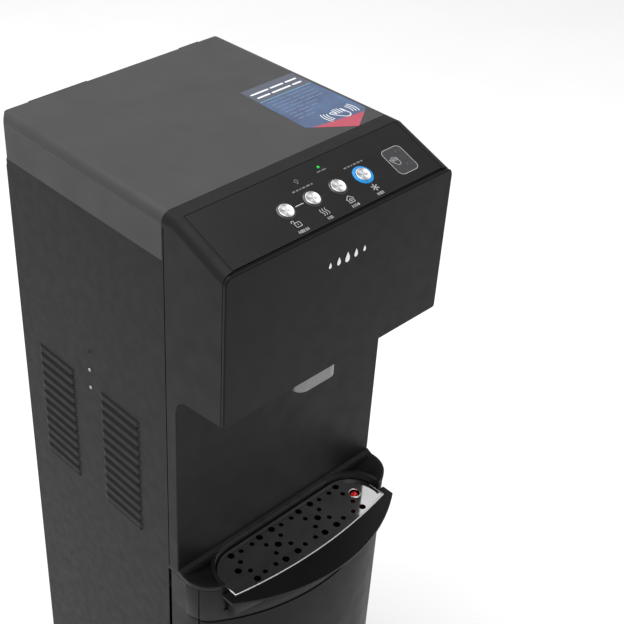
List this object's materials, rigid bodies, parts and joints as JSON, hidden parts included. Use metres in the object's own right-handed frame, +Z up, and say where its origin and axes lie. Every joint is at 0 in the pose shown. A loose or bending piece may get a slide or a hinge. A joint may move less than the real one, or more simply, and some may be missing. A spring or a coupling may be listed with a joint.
{
  "type": "water dispenser",
  "caption": "Free-standing water dispenser with a sloped push-button panel, recessed bay, sliding drip tray with steel grille, hinged bottle cabinet and internal chiller and heater.",
  "frame": {"origin": "middle of the footprint on the floor, at the underside of the feet", "axes": "+Z up, -Y towards the person using it, +X to that person's right"},
  "size_m": [0.31, 0.393, 1.05],
  "materials": {
    "painted_steel": "satin black powder coat",
    "rubber_black": "matt moulded rubber",
    "lid_plastic": "fine-grained charcoal plastic",
    "shell_plastic": "fine-grained black plastic",
    "panel_gloss": "glossy black film",
    "fascia_gloss": "satin-gloss black plastic",
    "shelf_plastic": "fine-grained black plastic",
    "tray_plastic": "smooth black plastic",
    "polished_steel": "mirror-polished stainless steel",
    "float_red": "bright red gloss",
    "door_plastic": "satin black plastic",
    "liner_plastic": "matt dark grey plastic",
    "plain_steel": "zinc-plated steel",
    "black_nylon": "matt black nylon",
    "galvanised_steel": "galvanised sheet steel",
    "probe_plastic": "smooth food-grade plastic",
    "silicone": "translucent silicone",
    "tank_steel": "drawn stainless steel",
    "foam_white": "expanded foam",
    "copper": "drawn copper tube",
    "glass_wool": "wrapped mineral wool",
    "heater_metal": "pressed metal band",
    "ceramic_white": "plain ceramic",
    "compressor_black": "black enamel",
    "valve_plastic": "natural nylon",
    "nozzle_silver": "satin silver lacquer",
    "circuit_green": "lacquered circuit board",
    "window_dark": "smoked infra-red window",
    "button_metal": "spun-brushed metal cap",
    "bezel_black": "dark chrome-look ring",
    "light_blue": "emissive blue light ring",
    "light_green": "emissive green indicator",
    "rocker_red": "red rocker",
    "rocker_green": "green rocker"
  },
  "bodies": {
    "root": {"base_pan": "painted_steel", "levelling_feet": "rubber_black", "side_panel_left": "painted_steel", "side_panel_right": "painted_steel", "rear_panel": "painted_steel", "top_lid": "lid_plastic", "front_shell": "shell_plastic", "control_panel": "panel_gloss", "front_fascia": "fascia_gloss", "tray_shelf": "shelf_plastic", "door_frame": "door_plastic", "door_hinge_pins": "plain_steel", "door_catch": "black_nylon", "mid_deck": "galvanised_steel", "tank_bracket": "galvanised_steel", "bottle_platform": "liner_plastic", "bottle_probe": "probe_plastic", "suction_hose": "silicone", "water_pump": "black_nylon", "delivery_hose": "silicone", "cold_tank": "tank_steel", "cold_insulation": "foam_white", "evaporator_coil": "copper", "hot_tank": "tank_steel", "hot_jacket": "glass_wool", "band_heater": "heater_metal", "thermostats": "ceramic_white", "compressor": "compressor_black", "compressor_grommets": "rubber_black", "condenser": "compressor_black", "filter_drier": "copper", "solenoid_valves": "valve_plastic", "nozzle_cover": "nozzle_silver", "outlet_insert": "black_nylon", "hot_tube": "silicone", "cold_tube": "silicone", "room_tube": "silicone", "control_board": "circuit_green", "sensor_window": "window_dark", "button_bezels": "bezel_black", "cold_light_ring": "light_blue", "status_led": "light_green", "power_box": "black_nylon", "switch_plate": "black_nylon", "power_gland": "black_nylon", "wall_spacers": "black_nylon", "side_screws": "plain_steel"},
    "door": {"door_skin": "door_plastic", "door_liner": "liner_plastic", "door_strike": "plain_steel"},
    "tray": {"drip_tray": "tray_plastic"},
    "grille": {"drip_grille": "polished_steel"},
    "float": {"drip_float": "float_red"},
    "unlock_button": {"button_unlock": "button_metal"},
    "hot_button": {"button_hot": "button_metal"},
    "room_button": {"button_room": "button_metal"},
    "cold_button": {"button_cold": "button_metal"},
    "hot_rocker": {"hot_switch": "rocker_red"},
    "cold_rocker": {"cold_switch": "rocker_green"},
    "drain_cap": {"drain_plug": "black_nylon"}
  },
  "joints": [
    {"name": "door_hinge", "type": "hinge", "parent": "root", "child": "door", "pos_m": [0.1435, -0.1255, 0.29], "axis": [0, 0, 1], "range_deg": [0, 105]},
    {"name": "tray_slide", "type": "slide", "parent": "root", "child": "tray", "axis": [0, -1, 0], "range_m": [0, 0.1]},
    {"name": "grille_lift", "type": "slide", "parent": "tray", "child": "grille", "axis": [0, 0, 1], "range_m": [0, 0.06]},
    {"name": "float_rise", "type": "slide", "parent": "tray", "child": "float", "axis": [0, 0, 1], "range_m": [0, 0.01]},
    {"name": "unlock_press", "type": "slide", "parent": "root", "child": "unlock_button", "axis": [0, 0.3625, -0.932], "range_m": [0, 0.0012], "stiffness_N_per_m": 500},
    {"name": "hot_press", "type": "slide", "parent": "root", "child": "hot_button", "axis": [0, 0.3625, -0.932], "range_m": [0, 0.0012], "stiffness_N_per_m": 500},
    {"name": "room_press", "type": "slide", "parent": "root", "child": "room_button", "axis": [0, 0.3625, -0.932], "range_m": [0, 0.0012], "stiffness_N_per_m": 500},
    {"name": "cold_press", "type": "slide", "parent": "root", "child": "cold_button", "axis": [0, 0.3625, -0.932], "range_m": [0, 0.0012], "stiffness_N_per_m": 500},
    {"name": "hot_rock", "type": "hinge", "parent": "root", "child": "hot_rocker", "pos_m": [0.088, 0.171, 0.785], "axis": [1, 0, 0], "range_deg": [-20, 0]},
    {"name": "cold_rock", "type": "hinge", "parent": "root", "child": "cold_rocker", "pos_m": [0.112, 0.171, 0.785], "axis": [1, 0, 0], "range_deg": [-20, 0]},
    {"name": "drain_pull", "type": "slide", "parent": "root", "child": "drain_cap", "axis": [0, 1, 0], "range_m": [0, 0.025]}
  ]
}
